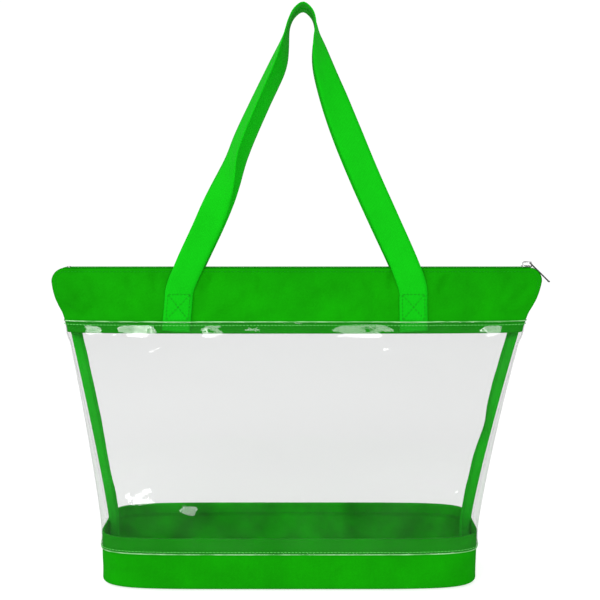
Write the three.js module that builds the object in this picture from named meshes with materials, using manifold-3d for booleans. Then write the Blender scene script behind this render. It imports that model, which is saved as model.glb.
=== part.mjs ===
// Clear-sided zip-top beach bag: a fabric base, two clear walls, a fabric band round the mouth,
// a coil zip along the top and two webbing handles.
// Millimetres, +Z up, +X to the right, the front faces -Y. Origin: centre of the base underside.

import * as THREE from 'three';
import { mergeVertices } from 'three/addons/utils/BufferGeometryUtils.js';
import Module from 'manifold-3d';

const wasm = await Module();
wasm.setup();

// ---------------------------------------------------------------- driving dimensions

const GAP = 0.3; // clearance between pieces that touch

// Wall shape, from the base up to the mouth.
const BASE_HALF_WIDTH = 197;
const BASE_HALF_DEPTH = 61;
const STRAIGHT_TOP = 58; // the wall is upright below this height
const BAND_BOTTOM = 260;
const BAND_BOTTOM_HALF_WIDTH = 238;
const BAND_BOTTOM_HALF_DEPTH = 21;
const TOP = 327; // height of the closed mouth
const MOUTH_HALF_WIDTH = 254;
const MOUTH_HALF_DEPTH = 9;
const CORNER_RADIUS = 14; // of the mouth, seen from the front
const CORNER_X = MOUTH_HALF_WIDTH - CORNER_RADIUS;
const CORNER_Z = TOP - CORNER_RADIUS;
const WALL_BOW = 1.15; // above 1, the side edges curve outward as they rise
const BASE_SQUARENESS = 6; // superellipse powers of the plan outline
const MOUTH_SQUARENESS = 3;
const SIDE_SEAM_TOP = 277; // the front and back walls part here
const ZIP_END_Z = 295; // and are a full mouth depth apart from here up
const LEAN = 8.5; // the bag stands a little askew: its mouth is this far to the right of its base

// Sheet goods.
const FABRIC = 1;
const CLEAR = 0.8;
const CLEAR_BOTTOM = 39;
const CLEAR_TOP = 272;
const CLEAR_LIFT = 2.1; // the clear sheet's inner face over the band, with room for a strap end
const LIFT_START = 246;
const LIFT_END = 256;
const BASE_FABRIC_TOP = 55;
const BASE_INSET = CLEAR + GAP;
const BASE_EDGE_WIDTH = 14; // rounding of the bottom edge
const BASE_EDGE_DEPTH = 9;
const BASE_EDGE_HEIGHT = 9;

// Threads and seam bindings.
const THREAD_WIDTH = 0.8;
const THREAD_THICK = 0.5;
const BASE_STITCH_Z = 41.5;
const BAND_STITCH_Z = 268.5;
const ZIP_STITCH_DROP = 4;
const BINDING_WIDTH = 12;
const BINDING_THICK = 2.6;
const BINDING_INSET = 2.6;
const BINDING_BOTTOM = 26;
const BINDING_TOP = 276;
const BOX_BINDING = { half_length: 36, width: 2, bottom: 14, height: 10, inset: 4.6 };

// Handles.
const STRAP_WIDTH = 29;
const STRAP_THICK = 1.4;
const STRAP_END_Z = 262;
const STRAP_HINGE_Z = 304.15;
const STRAP_END_X = 122.5;
const STRAP_HINGE_X = 120.5;
const TWIST_END_Z = 573; // a handle is turned edge-on to the front from here up
const HANDLE_PEAK = 593;
const HANDLE_LEAN = 6; // the loops lean this far further to the right at the peak
const HANDLE_PEAK_Y = STRAP_WIDTH / 2 + 1;
const OVER_THREAD = 1.7; // a handle clears the zip stitches by this much more
const HANDLE_STEPS = 22; // sections from an anchor to the peak
const BOX_STITCH = { width: 23, bottom: 274, top: 300, lift: 0.5 };

// Zip.
const TAPE_THICK = 0.6;
const ZIP_Z = TOP - TAPE_THICK / 2;
const TAPE_OUTER = MOUTH_HALF_DEPTH - FABRIC - GAP;
const TAPE_INNER = 2.7;
const TAPE_CORNER_INNER = 0.4;
const COIL = { from: -236, to: 240.6, middle: 1.3, half_width: 1.1, half_height: 0.8 };
const BOTTOM_STOP = { from: -239.6, to: -236.6, half_width: 2.4, half_height: 1.3 };
const TOP_STOP = { turn: 28, length: 2.2, from: 0.4, to: 2.4, half_height: 0.9 };

// Slider, measured from the zip's middle plane, and its pull tab.
const SLIDER = { left: 234, right: 244.6, half_width: 4, plate: 0.8, over: 1.2, under: 1.5 };
const FLANGE = { from: 3.2, drop: 0.6 };
const POST = { left: 241.4, right: 243.6, half_width: 0.9 };
const BRIDGE = { left: 235, right: 244.5, half_width: 1.1, thick: 0.9, rise: 5.3, foot: 1.3 };
const TAB = { length: 28, half_width: 3.3, thick: 0.9, window: 9.3, arm: 1.8, bar: 0.6, bead: 0.9 };
const TAB_PIVOT = { x: 243, rise: 4.3 };
const TAB_DROOP = THREE.MathUtils.degToRad(44);

// ---------------------------------------------------------------- materials

const BAND_GREEN = 0x12ad04;
const WEBBING_GREEN = 0x14c418;
const BINDING_GREEN = 0x1fb312;
const THREAD_GREEN = 0x2cc61e;
const ZIP_GREEN = 0x149c0a;
const NICKEL = 0xb9bcbe;

const finishes = {
  cloth: { color: BAND_GREEN, roughness: 0.85, metalness: 0 },
  webbing: { color: WEBBING_GREEN, roughness: 0.75, metalness: 0 },
  binding: { color: BINDING_GREEN, roughness: 0.8, metalness: 0 },
  thread: { color: THREAD_GREEN, roughness: 0.6, metalness: 0 },
  zip: { color: ZIP_GREEN, roughness: 0.6, metalness: 0 },
  clear: { color: 0xf2f6f5, roughness: 0.12, metalness: 0, transparent: true, opacity: 0.3 },
  metal: { color: NICKEL, roughness: 0.3, metalness: 1 },
};

const bag = new THREE.Group();

// Distance that the bag leans to the right at one height; handles and zip go with the mouth.
function leanAt(z) {
  return LEAN * Math.min(Math.max(z / TOP, 0), 1) ** 1.5;
}

function addPiece(name, geometry, finish) {
  const position = geometry.attributes.position;
  for (let i = 0; i < position.count && finish !== 'metal'; i++) {
    position.setX(i, position.getX(i) + leanAt(position.getZ(i)));
  }
  const mesh = new THREE.Mesh(geometry, new THREE.MeshStandardMaterial(finishes[finish]));
  mesh.name = name;
  bag.add(mesh);
  return mesh;
}

// ---------------------------------------------------------------- closed bodies from points

function signedVolume(points, triangles) {
  let sum = 0;
  for (const [a, b, c] of triangles) {
    sum += points[a].dot(new THREE.Vector3().crossVectors(points[b], points[c]));
  }
  return sum / 6;
}

// Geometry from points and triangles, with the faces turned to point out.
function closedBody(points, triangles) {
  const inward = signedVolume(points, triangles) < 0;
  const order = inward ? triangles.map(([a, b, c]) => [a, c, b]) : triangles;
  const geometry = new THREE.BufferGeometry();
  geometry.setAttribute('position', new THREE.Float32BufferAttribute(points.flatMap((p) => p.toArray()), 3));
  geometry.setIndex(order.flat());
  geometry.computeVertexNormals();
  return geometry;
}

function addQuad(triangles, a, b, c, d) {
  triangles.push([a, b, c], [a, c, d]);
}

// Thin sheet between two matching grids of points, closed along its four edges.
function sheet(outer, inner) {
  const rows = outer.length - 1;
  const cols = outer[0].length - 1;
  const at = (face, r, c) => (face * (rows + 1) + r) * (cols + 1) + c;
  const triangles = [];
  for (let r = 0; r < rows; r++) {
    for (let c = 0; c < cols; c++) {
      addQuad(triangles, at(0, r, c), at(0, r, c + 1), at(0, r + 1, c + 1), at(0, r + 1, c));
      addQuad(triangles, at(1, r, c), at(1, r + 1, c), at(1, r + 1, c + 1), at(1, r, c + 1));
    }
  }
  for (let c = 0; c < cols; c++) {
    addQuad(triangles, at(0, 0, c + 1), at(0, 0, c), at(1, 0, c), at(1, 0, c + 1));
    addQuad(triangles, at(0, rows, c), at(0, rows, c + 1), at(1, rows, c + 1), at(1, rows, c));
  }
  for (let r = 0; r < rows; r++) {
    addQuad(triangles, at(0, r, 0), at(0, r + 1, 0), at(1, r + 1, 0), at(1, r, 0));
    addQuad(triangles, at(0, r + 1, cols), at(0, r, cols), at(1, r, cols), at(1, r + 1, cols));
  }
  return closedBody([...outer.flat(), ...inner.flat()], triangles);
}

// Solid through a row of rings with the same number of points, capped at both ends.
function rod(rings) {
  const count = rings[0].length;
  const triangles = [];
  for (let r = 0; r + 1 < rings.length; r++) {
    for (let i = 0; i < count; i++) {
      const j = (i + 1) % count;
      addQuad(triangles, r * count + i, r * count + j, (r + 1) * count + j, (r + 1) * count + i);
    }
  }
  const last = (rings.length - 1) * count;
  for (let i = 1; i + 1 < count; i++) {
    triangles.push([0, i + 1, i], [last, last + i, last + i + 1]);
  }
  return closedBody(rings.flat(), triangles);
}

// Open-topped tub between two stacks of rings, each closed at the bottom by a fan.
function tub(outerRings, innerRings) {
  const rows = outerRings.length;
  const count = outerRings[0].length;
  const at = (face, r, i) => (face * rows + r) * count + (i % count);
  const middle = (ring) => new THREE.Vector3(0, 0, ring[0].z);
  const points = [...outerRings.flat(), ...innerRings.flat(), middle(outerRings[0]), middle(innerRings[0])];
  const outerMiddle = 2 * rows * count;
  const triangles = [];
  for (let i = 0; i < count; i++) {
    for (let r = 0; r + 1 < rows; r++) {
      addQuad(triangles, at(0, r, i), at(0, r, i + 1), at(0, r + 1, i + 1), at(0, r + 1, i));
      addQuad(triangles, at(1, r, i), at(1, r + 1, i), at(1, r + 1, i + 1), at(1, r, i + 1));
    }
    triangles.push([outerMiddle, at(0, 0, i + 1), at(0, 0, i)]);
    triangles.push([outerMiddle + 1, at(1, 0, i), at(1, 0, i + 1)]);
    addQuad(triangles, at(0, rows - 1, i), at(0, rows - 1, i + 1), at(1, rows - 1, i + 1), at(1, rows - 1, i));
  }
  return closedBody(points, triangles);
}

// ---------------------------------------------------------------- joining simple solids

function toManifold(geometry) {
  const bare = geometry.clone();
  bare.deleteAttribute('normal');
  bare.deleteAttribute('uv');
  const merged = mergeVertices(bare, 1e-4);
  return new wasm.Manifold(new wasm.Mesh({
    numProp: 3,
    vertProperties: Float32Array.from(merged.attributes.position.array),
    triVerts: Uint32Array.from(merged.index.array),
  }));
}

function fromManifold(solid) {
  const mesh = solid.getMesh();
  const geometry = new THREE.BufferGeometry();
  geometry.setAttribute('position', new THREE.Float32BufferAttribute(mesh.vertProperties, 3));
  geometry.setIndex(Array.from(mesh.triVerts));
  return geometry;
}

function joined(geometries) {
  return fromManifold(geometries.map(toManifold).reduce((a, b) => a.add(b)));
}

// Box between two corners.
function block(x0, x1, y0, y1, z0, z1) {
  const geometry = new THREE.BoxGeometry(x1 - x0, y1 - y0, z1 - z0);
  return geometry.translate((x0 + x1) / 2, (y0 + y1) / 2, (z0 + z1) / 2);
}

// Outline in the XZ plane, extruded evenly to both sides of y = 0.
function sideProfile(points, reach) {
  const shape = new THREE.Shape(points.map(([x, z]) => new THREE.Vector2(x, z)));
  const geometry = new THREE.ExtrudeGeometry(shape, { depth: 2 * reach, bevelEnabled: false });
  return geometry.rotateX(Math.PI / 2).translate(0, reach, 0);
}

// ---------------------------------------------------------------- the wall's shape

const { lerp, clamp, smoothstep } = THREE.MathUtils;
const WALL_STEPS = 28; // columns of one wall between its side seams

function halfWidth(z) {
  if (z > CORNER_Z) {
    return CORNER_X + Math.sqrt(CORNER_RADIUS ** 2 - (Math.min(z, TOP) - CORNER_Z) ** 2);
  }
  if (z > BAND_BOTTOM) {
    return lerp(BAND_BOTTOM_HALF_WIDTH, MOUTH_HALF_WIDTH, smoothstep(z, BAND_BOTTOM, CORNER_Z - 4));
  }
  const rise = clamp((z - STRAIGHT_TOP) / (BAND_BOTTOM - STRAIGHT_TOP), 0, 1);
  return lerp(BASE_HALF_WIDTH, BAND_BOTTOM_HALF_WIDTH, rise ** WALL_BOW);
}

function halfDepth(z) {
  if (z > BAND_BOTTOM) {
    return lerp(BAND_BOTTOM_HALF_DEPTH, MOUTH_HALF_DEPTH, (z - BAND_BOTTOM) / (TOP - BAND_BOTTOM));
  }
  const rise = clamp((z - STRAIGHT_TOP) / (BAND_BOTTOM - STRAIGHT_TOP), 0, 1);
  return lerp(BASE_HALF_DEPTH, BAND_BOTTOM_HALF_DEPTH, rise);
}

// How far a wall's side edge stands from the middle plane.
function edgeDepth(z, out) {
  const open = MOUTH_HALF_DEPTH * smoothstep(z, SIDE_SEAM_TOP, ZIP_END_Z);
  return Math.max(GAP, open + Math.min(out, 0));
}

function squareness(z) {
  const rise = clamp((z - STRAIGHT_TOP) / (TOP - STRAIGHT_TOP), 0, 1);
  return lerp(BASE_SQUARENESS, MOUTH_SQUARENESS, rise);
}

// Depth of the wall's surface at a place on it, moved out by a distance.
function wallDepth(x, z, out) {
  const n = squareness(z);
  const share = Math.min(Math.abs(x) / (halfWidth(z) + out), 1);
  const edge = edgeDepth(z, out);
  return edge + (halfDepth(z) + out - edge) * (1 - share ** n) ** (1 / n);
}

// One row of points round one wall, from the left seam to the right one. face is -1 in front.
function wallRow(face, z, out) {
  const n = squareness(z);
  const row = [];
  for (let i = 0; i <= WALL_STEPS; i++) {
    const along = Math.cos((Math.PI * i) / WALL_STEPS);
    const x = -Math.sign(along) * (halfWidth(z) + out) * Math.abs(along) ** (2 / n);
    row.push(new THREE.Vector3(x, face * wallDepth(x, z, out), z));
  }
  return row;
}

// Sheet of the wall through a list of heights, with its outer face moved out by outAt(z).
function wallSheet(face, heights, outAt, thick) {
  return sheet(
    heights.map((z) => wallRow(face, z, outAt(z))),
    heights.map((z) => wallRow(face, z, outAt(z) - thick)),
  );
}

function heightsBetween(from, to, steps) {
  return Array.from({ length: steps + 1 }, (_, i) => lerp(from, to, i / steps));
}

// Level row of stitches on one wall.
function stitchRow(face, z, surface) {
  const heights = [z - THREAD_WIDTH / 2, z + THREAD_WIDTH / 2];
  return wallSheet(face, heights, () => surface + GAP + THREAD_THICK, THREAD_THICK);
}

// ---------------------------------------------------------------- base

// Ring of the base at one height: shrink is taken off the half width and half depth.
function baseRing(z, shrinkX, shrinkY) {
  const steps = 2 * WALL_STEPS;
  const n = BASE_SQUARENESS;
  return Array.from({ length: steps }, (_, i) => {
    const turn = (2 * Math.PI * i) / steps;
    const power = (v) => Math.sign(v) * Math.abs(v) ** (2 / n);
    const x = (BASE_HALF_WIDTH - shrinkX) * power(Math.cos(turn));
    const y = (BASE_HALF_DEPTH - shrinkY) * power(Math.sin(turn));
    return new THREE.Vector3(x, y, z);
  });
}

function makeBase() {
  const edgeHeights = [0, 1, 3, 6];
  const heights = [...edgeHeights, BASE_EDGE_HEIGHT, 20, CLEAR_BOTTOM, BASE_FABRIC_TOP];
  const rings = (skin) => heights.map((z) => {
    const lean = clamp(1 - z / BASE_EDGE_HEIGHT, 0, 1);
    const upright = Math.sqrt(1 - lean ** 2);
    const inset = BASE_INSET + skin * upright;
    return baseRing(
      z + skin * lean,
      inset + BASE_EDGE_WIDTH * (1 - upright),
      inset + BASE_EDGE_DEPTH * (1 - upright),
    );
  });
  addPiece('base_fabric', tub(rings(0), rings(FABRIC)), 'cloth');
}

// Folded binding that stands on the inside of a side seam.
function makeSideBinding(sideName, side) {
  const heights = heightsBetween(BINDING_BOTTOM, BINDING_TOP, 9);
  const face = (y) => heights.map((z) => {
    const outer = halfWidth(z) - BINDING_INSET;
    return [outer - BINDING_WIDTH, outer].map((x) => new THREE.Vector3(side * x, y, z));
  });
  addPiece(`${sideName}_side_binding`, sheet(face(BINDING_THICK / 2), face(-BINDING_THICK / 2)), 'binding');
}

// Bound seam across a boxed bottom corner, inside the base.
function makeBoxBinding(sideName, side) {
  const outer = side * (BASE_HALF_WIDTH - BOX_BINDING.inset);
  const inner = outer - side * BOX_BINDING.width;
  const { half_length: reach, bottom, height } = BOX_BINDING;
  const strip = block(Math.min(inner, outer), Math.max(inner, outer), -reach, reach, bottom, bottom + height);
  addPiece(`${sideName}_box_binding`, strip, 'binding');
}

// ---------------------------------------------------------------- walls

const clearOut = (z) => (CLEAR_LIFT + CLEAR) * smoothstep(z, LIFT_START, LIFT_END);

function makeWall(sideName, face) {
  const clearHeights = [
    ...heightsBetween(CLEAR_BOTTOM, STRAIGHT_TOP, 2),
    ...heightsBetween(STRAIGHT_TOP, LIFT_START, 9).slice(1),
    ...heightsBetween(LIFT_START, LIFT_END, 3).slice(1),
    BAND_BOTTOM + 3,
    BAND_STITCH_Z - THREAD_WIDTH / 2,
    BAND_STITCH_Z + THREAD_WIDTH / 2,
    CLEAR_TOP,
  ];
  addPiece(`${sideName}_clear_panel`, wallSheet(face, clearHeights, clearOut, CLEAR), 'clear');

  const bandHeights = [
    ...heightsBetween(BAND_BOTTOM, CORNER_Z, 8),
    ...[0.35, 0.6, 0.8, 0.93, 1].map((share) => lerp(CORNER_Z, TOP, share)),
  ];
  addPiece(`${sideName}_top_band`, wallSheet(face, bandHeights, () => 0, FABRIC), 'cloth');

  addPiece(`${sideName}_base_stitch`, stitchRow(face, BASE_STITCH_Z, 0), 'thread');
  addPiece(`${sideName}_band_stitch`, stitchRow(face, BAND_STITCH_Z, CLEAR_LIFT + CLEAR), 'thread');
}

// ---------------------------------------------------------------- zip

// Places along the mouth's outline from the left end over the top to the right end, as
// { x, z, nx, nz, bend } with the outward normal and the share of the corner turned.
function mouthOutline() {
  const bend = heightsBetween(0, 1, 6).map((share) => ({ share, angle: (share * Math.PI) / 2 }));
  const right = bend.map(({ share, angle }) => ({
    x: CORNER_X + CORNER_RADIUS * Math.sin(angle),
    z: CORNER_Z + CORNER_RADIUS * Math.cos(angle),
    nx: Math.sin(angle),
    nz: Math.cos(angle),
    bend: share,
  }));
  for (const z of heightsBetween(CORNER_Z, ZIP_END_Z + 1, 3).slice(1)) {
    right.push({ x: halfWidth(z), z, nx: 1, nz: 0, bend: 1 });
  }
  const left = right.map((place) => ({ ...place, x: -place.x, nx: -place.nx })).reverse();
  const straight = heightsBetween(-CORNER_X, CORNER_X, 8).slice(1, -1);
  const top = straight.map((x) => ({ x, z: TOP, nx: 0, nz: 1, bend: 0 }));
  return [...left, ...top, ...right];
}

const OUTLINE = mouthOutline();

function alongNormal(place, y, lift) {
  return new THREE.Vector3(place.x + place.nx * lift, y, place.z + place.nz * lift);
}

function makeZipTape(sideName, face) {
  const surface = (lift) => OUTLINE.map((place) => {
    const inner = place.bend > 0.5 ? TAPE_CORNER_INNER : TAPE_INNER;
    return [alongNormal(place, face * TAPE_OUTER, lift), alongNormal(place, face * inner, lift)];
  });
  addPiece(`${sideName}_zip_tape`, sheet(surface(0), surface(-TAPE_THICK)), 'zip');
}

function makeZipCoil(sideName, face) {
  const sides = 8;
  const rings = heightsBetween(COIL.from, COIL.to, 6).map((x) => Array.from({ length: sides }, (_, i) => {
    const turn = (2 * Math.PI * i) / sides;
    const y = face * COIL.middle + COIL.half_width * Math.cos(turn);
    return new THREE.Vector3(x, y, ZIP_Z + COIL.half_height * Math.sin(turn));
  }));
  addPiece(`${sideName}_zip_coil`, rod(rings), 'zip');
}

// Row of stitches that holds the band to the zip, a little below the fold and round the corners.
function makeZipStitch(sideName, face) {
  const surface = (out) => OUTLINE.map((place) => [-1, 1].map((edge) => {
    const drop = ZIP_STITCH_DROP + (edge * THREAD_WIDTH) / 2;
    const point = alongNormal(place, 0, -drop);
    point.y = face * (wallDepth(point.x, point.z, 0) + out);
    return point;
  }));
  const lift = GAP + 0.1;
  addPiece(`${sideName}_zip_stitch`, sheet(surface(lift + THREAD_THICK), surface(lift)), 'thread');
}

function makeTopStop(sideName, face) {
  const turn = THREE.MathUtils.degToRad(TOP_STOP.turn);
  const y0 = Math.min(face * TOP_STOP.from, face * TOP_STOP.to);
  const y1 = Math.max(face * TOP_STOP.from, face * TOP_STOP.to);
  const half = TOP_STOP.length / 2;
  const radius = CORNER_RADIUS - TAPE_THICK / 2;
  const geometry = block(-half, half, y0, y1, -TOP_STOP.half_height, TOP_STOP.half_height);
  geometry.translate(0, 0, radius).rotateY(turn).translate(CORNER_X + LEAN, 0, CORNER_Z);
  addPiece(`${sideName}_top_stop`, geometry, 'metal');
}

function makeBottomStop() {
  const { from, to, half_width: w, half_height: h } = BOTTOM_STOP;
  addPiece('zip_bottom_stop', block(from + LEAN, to + LEAN, -w, w, ZIP_Z - h, ZIP_Z + h), 'metal');
}

function makeSlider() {
  const { left, right, half_width: w, plate, over, under } = SLIDER;
  const topFace = ZIP_Z + over + plate;
  const topPlate = sideProfile([
    [left, ZIP_Z + over],
    [right, ZIP_Z + over],
    [right, topFace - 0.7],
    [right - 1.8, topFace],
    [left + 1, topFace],
    [left, topFace - 0.4],
  ], w);
  const bottomPlate = sideProfile([
    [left, ZIP_Z - under],
    [left + 1, ZIP_Z - under - plate],
    [right - 1, ZIP_Z - under - plate],
    [right, ZIP_Z - under],
  ], w);
  const flanges = [-1, 1].map((face) => {
    const y0 = Math.min(face * FLANGE.from, face * w);
    const y1 = Math.max(face * FLANGE.from, face * w);
    return block(left + 1, right - 1, y0, y1, ZIP_Z + FLANGE.drop, ZIP_Z + over + plate / 2);
  });
  const post = block(
    POST.left, POST.right, -POST.half_width, POST.half_width, ZIP_Z - under - plate / 2, ZIP_Z + over + plate / 2,
  );
  const foot = ZIP_Z + BRIDGE.foot;
  const crown = ZIP_Z + BRIDGE.rise + BRIDGE.thick;
  const bridge = sideProfile([
    [BRIDGE.left, foot],
    [BRIDGE.left, crown - 1],
    [BRIDGE.left + 1, crown],
    [BRIDGE.right - 1, crown],
    [BRIDGE.right, crown - 1],
    [BRIDGE.right, foot],
    [BRIDGE.right - BRIDGE.thick, foot],
    [BRIDGE.right - BRIDGE.thick, crown - BRIDGE.thick],
    [BRIDGE.left + BRIDGE.thick, crown - BRIDGE.thick],
    [BRIDGE.left + BRIDGE.thick, foot],
  ], BRIDGE.half_width);
  const whole = joined([topPlate, bottomPlate, ...flanges, post, bridge]);
  addPiece('zip_slider', whole.translate(LEAN, 0, 0), 'metal');
}

// Pull tab in its own frame, then turned and moved: its length runs along +X from the pivot bar.
function makePullTab() {
  const w = TAB.half_width;
  const blade = new THREE.Shape();
  blade.moveTo(0, -w);
  blade.lineTo(TAB.length - 1.5, -w);
  blade.absarc(TAB.length - 1.5, -w + 1.5, 1.5, -Math.PI / 2, 0);
  blade.lineTo(TAB.length, w - 1.5);
  blade.absarc(TAB.length - 1.5, w - 1.5, 1.5, 0, Math.PI / 2);
  blade.lineTo(0, w);
  const opening = new THREE.Path();
  opening.moveTo(-1, -(w - TAB.arm));
  opening.lineTo(TAB.window, -(w - TAB.arm));
  opening.lineTo(TAB.window, w - TAB.arm);
  opening.lineTo(-1, w - TAB.arm);
  const plate = new THREE.ExtrudeGeometry(blade, { depth: TAB.thick, bevelEnabled: false, curveSegments: 4 });
  plate.translate(0, 0, -TAB.thick / 2);
  const cutter = new THREE.ExtrudeGeometry(new THREE.Shape(opening.getPoints()), {
    depth: 4 * TAB.thick,
    bevelEnabled: false,
  });
  cutter.translate(0, 0, -2 * TAB.thick);
  const bar = new THREE.CylinderGeometry(TAB.bar, TAB.bar, 2 * w, 16);
  const bead = new THREE.CylinderGeometry(TAB.bead, TAB.bead, 2 * w - 2, 16);
  bead.translate(TAB.length - TAB.bead, 0, 0);
  const tab = toManifold(plate).subtract(toManifold(cutter)).add(toManifold(bar)).add(toManifold(bead));
  const piece = addPiece('zip_pull_tab', fromManifold(tab), 'metal');
  piece.rotation.y = TAB_DROOP;
  piece.position.set(TAB_PIVOT.x + LEAN, 0, ZIP_Z + TAB_PIVOT.rise);
}

// ---------------------------------------------------------------- handles

// Sewn-down end of a strap, flat on the band.
function makeHandleEnd(sideName, face, endName, end) {
  const hingeTop = STRAP_HINGE_Z - GAP / 2;
  const heights = heightsBetween(STRAP_END_Z, hingeTop, 6);
  const surface = (lift) => heights.map((z) => {
    const share = (z - STRAP_END_Z) / (hingeTop - STRAP_END_Z);
    const middle = end * lerp(STRAP_END_X, STRAP_HINGE_X, share);
    return [-1, 1].map((edge) => {
      const x = middle + (edge * STRAP_WIDTH) / 2;
      return new THREE.Vector3(x, face * (wallDepth(x, z, 0) + lift), z);
    });
  });
  const piece = sheet(surface(GAP + STRAP_THICK), surface(GAP));
  addPiece(`${sideName}_handle_end_${endName}`, piece, 'webbing');
}

// Box with a cross in it, sewn through a strap end.
function makeBoxStitch(sideName, face, endName, end) {
  const corner = (edge, z) => {
    const share = (z - STRAP_END_Z) / (STRAP_HINGE_Z - STRAP_END_Z);
    const middle = end * lerp(STRAP_END_X, STRAP_HINGE_X, share);
    const rim = [-1, 1].map((e) => face * wallDepth(middle + (e * STRAP_WIDTH) / 2, z, 0));
    const lift = face * (GAP + STRAP_THICK + BOX_STITCH.lift);
    return new THREE.Vector3(middle + (edge * STRAP_WIDTH) / 2, rim[edge < 0 ? 0 : 1] + lift, z);
  };
  const { bottom, top, width } = BOX_STITCH;
  const height = top - bottom;
  const bars = [
    block(-width / 2, width / 2, 0, THREAD_THICK, -height / 2, -height / 2 + THREAD_WIDTH),
    block(-width / 2, width / 2, 0, THREAD_THICK, height / 2 - THREAD_WIDTH, height / 2),
    block(-width / 2, -width / 2 + THREAD_WIDTH, 0, THREAD_THICK, -height / 2, height / 2),
    block(width / 2 - THREAD_WIDTH, width / 2, 0, THREAD_THICK, -height / 2, height / 2),
  ];
  const diagonal = Math.hypot(width, height) - 2 * THREAD_WIDTH;
  for (const slope of [-1, 1]) {
    const bar = block(-diagonal / 2, diagonal / 2, 0, THREAD_THICK, -THREAD_WIDTH / 2, THREAD_WIDTH / 2);
    bars.push(bar.rotateY(slope * Math.atan2(height, width)));
  }
  const lower = [corner(-1, bottom), corner(1, bottom)];
  const upper = [corner(-1, top), corner(1, top)];
  const centre = [...lower, ...upper].reduce((sum, p) => sum.addScaledVector(p, 0.25), new THREE.Vector3());
  const across = new THREE.Vector3().subVectors(lower[1], lower[0]).normalize();
  const up = new THREE.Vector3().subVectors(upper[0], lower[0]);
  const outward = new THREE.Vector3().crossVectors(up, across).normalize();
  up.crossVectors(across, outward).normalize();
  if (outward.y * face < 0) {
    outward.negate();
    across.negate();
  }
  const geometry = joined(bars);
  geometry.applyMatrix4(new THREE.Matrix4().makeBasis(across, outward, up).setPosition(centre));
  addPiece(`${sideName}_box_stitch_${endName}`, geometry, 'thread');
}

// Outer edge of a handle, seen from the front: half span against height.
const HANDLE_EDGE = [
  [128, 327], [106, 375], [87, 415], [69, 455], [51, 495], [32, 535], [20, 560], [13.5, 576], [8.2, 586],
];
const SLANT = 1.08; // a strap's width over its upright width, because the arms slope

// The back handle hangs a little inside and below the front one. Each arm turns about its own
// length: degrees against height.
const HANDLES = {
  front: {
    inside: 0,
    below: STRAP_THICK / 2,
    left: [[327, 0], [380, 5], [415, 40], [440, 66], [495, 72], [535, 76], [TWIST_END_Z, 90]],
    right: [[327, 0], [455, 5], [495, 22], [515, 36], [535, 48], [550, 61], [TWIST_END_Z, 90]],
  },
  back: {
    inside: 1.5,
    below: 4,
    left: [[327, 0], [395, 15], [415, 33], [435, 48], [495, 50], [535, 56], [550, 68], [TWIST_END_Z, 90]],
    right: [[327, 0], [455, 8], [495, 26], [515, 38], [535, 50], [550, 63], [TWIST_END_Z, 90]],
  },
};

// Value at a height, from a list of [height, value] pairs.
function valueAt(pairs, z) {
  const next = pairs.findIndex(([height]) => height > z);
  if (next === 0) return pairs[0][1];
  if (next < 0) return pairs.at(-1)[1];
  const [[z0, v0], [z1, v1]] = [pairs[next - 1], pairs[next]];
  return lerp(v0, v1, (z - z0) / (z1 - z0));
}

function makeHandleLoop(sideName, face) {
  const { inside, below, left, right } = HANDLES[sideName];
  const turnAt = (side, z) => THREE.MathUtils.degToRad(valueAt(side < 0 ? left : right, z));
  const depthAt = (x, z) => {
    const overThread = OVER_THREAD * smoothstep(z, STRAP_HINGE_Z, TOP - 2 * ZIP_STITCH_DROP);
    const onBand = wallDepth(x, Math.min(z, TOP), 0) + GAP + STRAP_THICK / 2 + overThread;
    return lerp(onBand, HANDLE_PEAK_Y, smoothstep(z, TOP, TWIST_END_Z));
  };
  const lean = (z) => HANDLE_LEAN * ((z - STRAP_HINGE_Z) / (HANDLE_PEAK - STRAP_HINGE_Z)) ** 2;
  const start = STRAP_HINGE_Z + GAP / 2;
  const arm = (side) => [[side * STRAP_HINGE_X, start], ...HANDLE_EDGE.map(([x, z]) => {
    const reach = (STRAP_WIDTH / 2) * SLANT * Math.cos(turnAt(side, z));
    const hang = inside * smoothstep(z, STRAP_HINGE_Z, TOP + 40);
    return [side * (x - reach - hang), z - below * smoothstep(z, TWIST_END_Z - 40, HANDLE_PEAK)];
  })];
  const route = [...arm(-1), [0, HANDLE_PEAK - below], ...arm(1).reverse()];
  const curve = new THREE.CatmullRomCurve3(
    route.map(([x, z]) => new THREE.Vector3(x + lean(z), face * depthAt(x, z), z)),
    false,
    'centripetal',
  );
  const front = [];
  const behind = [];
  const length = curve.getLength();
  for (let i = 0; i <= 2 * HANDLE_STEPS; i++) {
    const u = i / (2 * HANDLE_STEPS);
    const middle = curve.getPointAt(u);
    const tangent = curve.getTangentAt(u);
    const fromEnd = Math.min(u, 1 - u) * length;
    const level = Math.exp(-fromEnd / 8);
    tangent.lerp(new THREE.Vector3(0, 0, u < 0.5 ? 1 : -1), level).normalize();
    const twist = turnAt(u - 0.5, middle.z);
    const outward = new THREE.Vector3(-tangent.z, 0, tangent.x).normalize();
    const normal = new THREE.Vector3(0, face * Math.cos(twist), 0).addScaledVector(outward, Math.sin(twist));
    const across = new THREE.Vector3().crossVectors(normal, tangent).normalize();
    const half = (edge, side) => middle.clone()
      .addScaledVector(across, (edge * STRAP_WIDTH) / 2)
      .addScaledVector(normal, (side * STRAP_THICK) / 2);
    front.push([half(-1, 1), half(1, 1)]);
    behind.push([half(-1, -1), half(1, -1)]);
  }
  addPiece(`${sideName}_handle_loop`, sheet(front, behind), 'webbing');
}

// ---------------------------------------------------------------- assembly

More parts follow.
